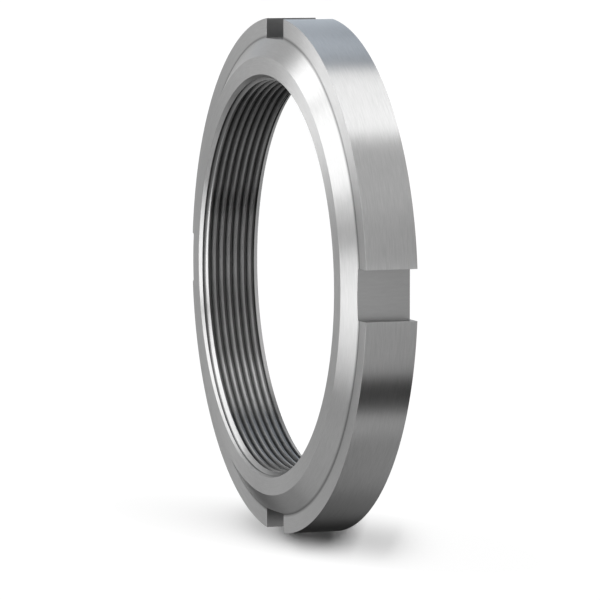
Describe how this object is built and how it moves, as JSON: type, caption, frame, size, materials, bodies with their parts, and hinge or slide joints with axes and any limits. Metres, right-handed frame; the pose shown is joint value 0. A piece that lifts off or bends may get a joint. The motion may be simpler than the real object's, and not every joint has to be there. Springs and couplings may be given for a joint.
{
  "type": "bearing lock nut",
  "caption": "Thin turned steel ring nut with a fine right-hand thread, a low coned front face and open spanner slots round its rim, for holding a bearing on a shaft.",
  "frame": {"origin": "where the thread's axis meets the rear face, the face that the nut lies on", "axes": "+Z along the thread's axis, out of the coned front face; +X out through the middle of a spanner slot"},
  "size_m": [0.199, 0.199, 0.025],
  "materials": {
    "turned_steel": "fine turned steel, bright, lightly brushed round the axis"
  },
  "bodies": {
    "root": {"lock_nut": "turned_steel"}
  },
  "joints": []
}
